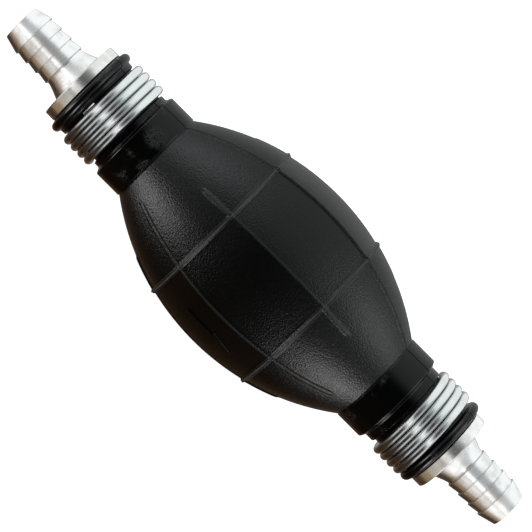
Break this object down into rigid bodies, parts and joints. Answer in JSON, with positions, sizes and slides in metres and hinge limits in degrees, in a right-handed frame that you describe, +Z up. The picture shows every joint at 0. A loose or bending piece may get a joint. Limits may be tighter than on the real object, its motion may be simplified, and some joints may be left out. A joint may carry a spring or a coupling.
{
  "type": "siphon bulb pump",
  "caption": "Hand-squeezed rubber primer bulb with a check valve and an aluminium hose barb at each end, for siphoning or priming fuel and water lines.",
  "frame": {"origin": "centre of the bulb, on the pump's axis", "axes": "+X is the flow direction, from the inlet barb to the outlet barb; +Z is up, and the mould's parting line runs along the top and the bottom of the bulb in the plane Y = 0; the hand presses the bulb in along Y"},
  "size_m": [0.18, 0.055, 0.055],
  "materials": {
    "bulb_rubber": "moulded black rubber, finely stippled on the bulb and smooth on the cuffs",
    "turned_aluminium": "bright turned",
    "clamp_wire": "bright galvanised wire",
    "spring_steel": "drawn stainless",
    "valve_acetal": "moulded off-white acetal",
    "nitrile_seal": "smooth nitrile",
    "poppet_brass": "turned"
  },
  "bodies": {
    "body": {"bulb_shell": "bulb_rubber", "inlet_barb_fitting": "turned_aluminium", "inlet_wire_clamp": "clamp_wire", "inlet_circlip": "spring_steel", "inlet_valve_housing": "valve_acetal", "inlet_housing_o_ring": "nitrile_seal", "inlet_valve_spring": "spring_steel", "inlet_spring_retainer": "valve_acetal", "outlet_barb_fitting": "turned_aluminium", "outlet_wire_clamp": "clamp_wire", "outlet_circlip": "spring_steel", "outlet_valve_housing": "valve_acetal", "outlet_housing_o_ring": "nitrile_seal", "outlet_valve_spring": "spring_steel", "outlet_spring_retainer": "valve_acetal"},
    "inlet_poppet": {"inlet_valve_poppet": "poppet_brass", "inlet_poppet_seal": "nitrile_seal"},
    "outlet_poppet": {"outlet_valve_poppet": "poppet_brass", "outlet_poppet_seal": "nitrile_seal"},
    "front_wall": {"squeeze_wall_front": "bulb_rubber"},
    "back_wall": {"squeeze_wall_back": "bulb_rubber"}
  },
  "joints": [
    {"name": "squeeze", "type": "slide", "parent": "body", "child": "front_wall", "axis": [0, 1, 0], "range_m": [0, 0.008], "stiffness_N_per_m": 2500},
    {"name": "squeeze_back", "type": "slide", "parent": "body", "child": "back_wall", "axis": [0, -1, 0], "range_m": [0, 0.008], "stiffness_N_per_m": 2500},
    {"name": "inlet_valve", "type": "slide", "parent": "body", "child": "inlet_poppet", "axis": [1, 0, 0], "range_m": [0, 0.003], "stiffness_N_per_m": 80, "springref_m": -0.002, "deforming": ["inlet_valve_spring"]},
    {"name": "outlet_valve", "type": "slide", "parent": "body", "child": "outlet_poppet", "axis": [1, 0, 0], "range_m": [0, 0.003], "stiffness_N_per_m": 80, "springref_m": -0.002, "deforming": ["outlet_valve_spring"]}
  ],
  "couplings": [
    {"joint": "squeeze_back", "follows": "squeeze", "ratio": 1}
  ]
}
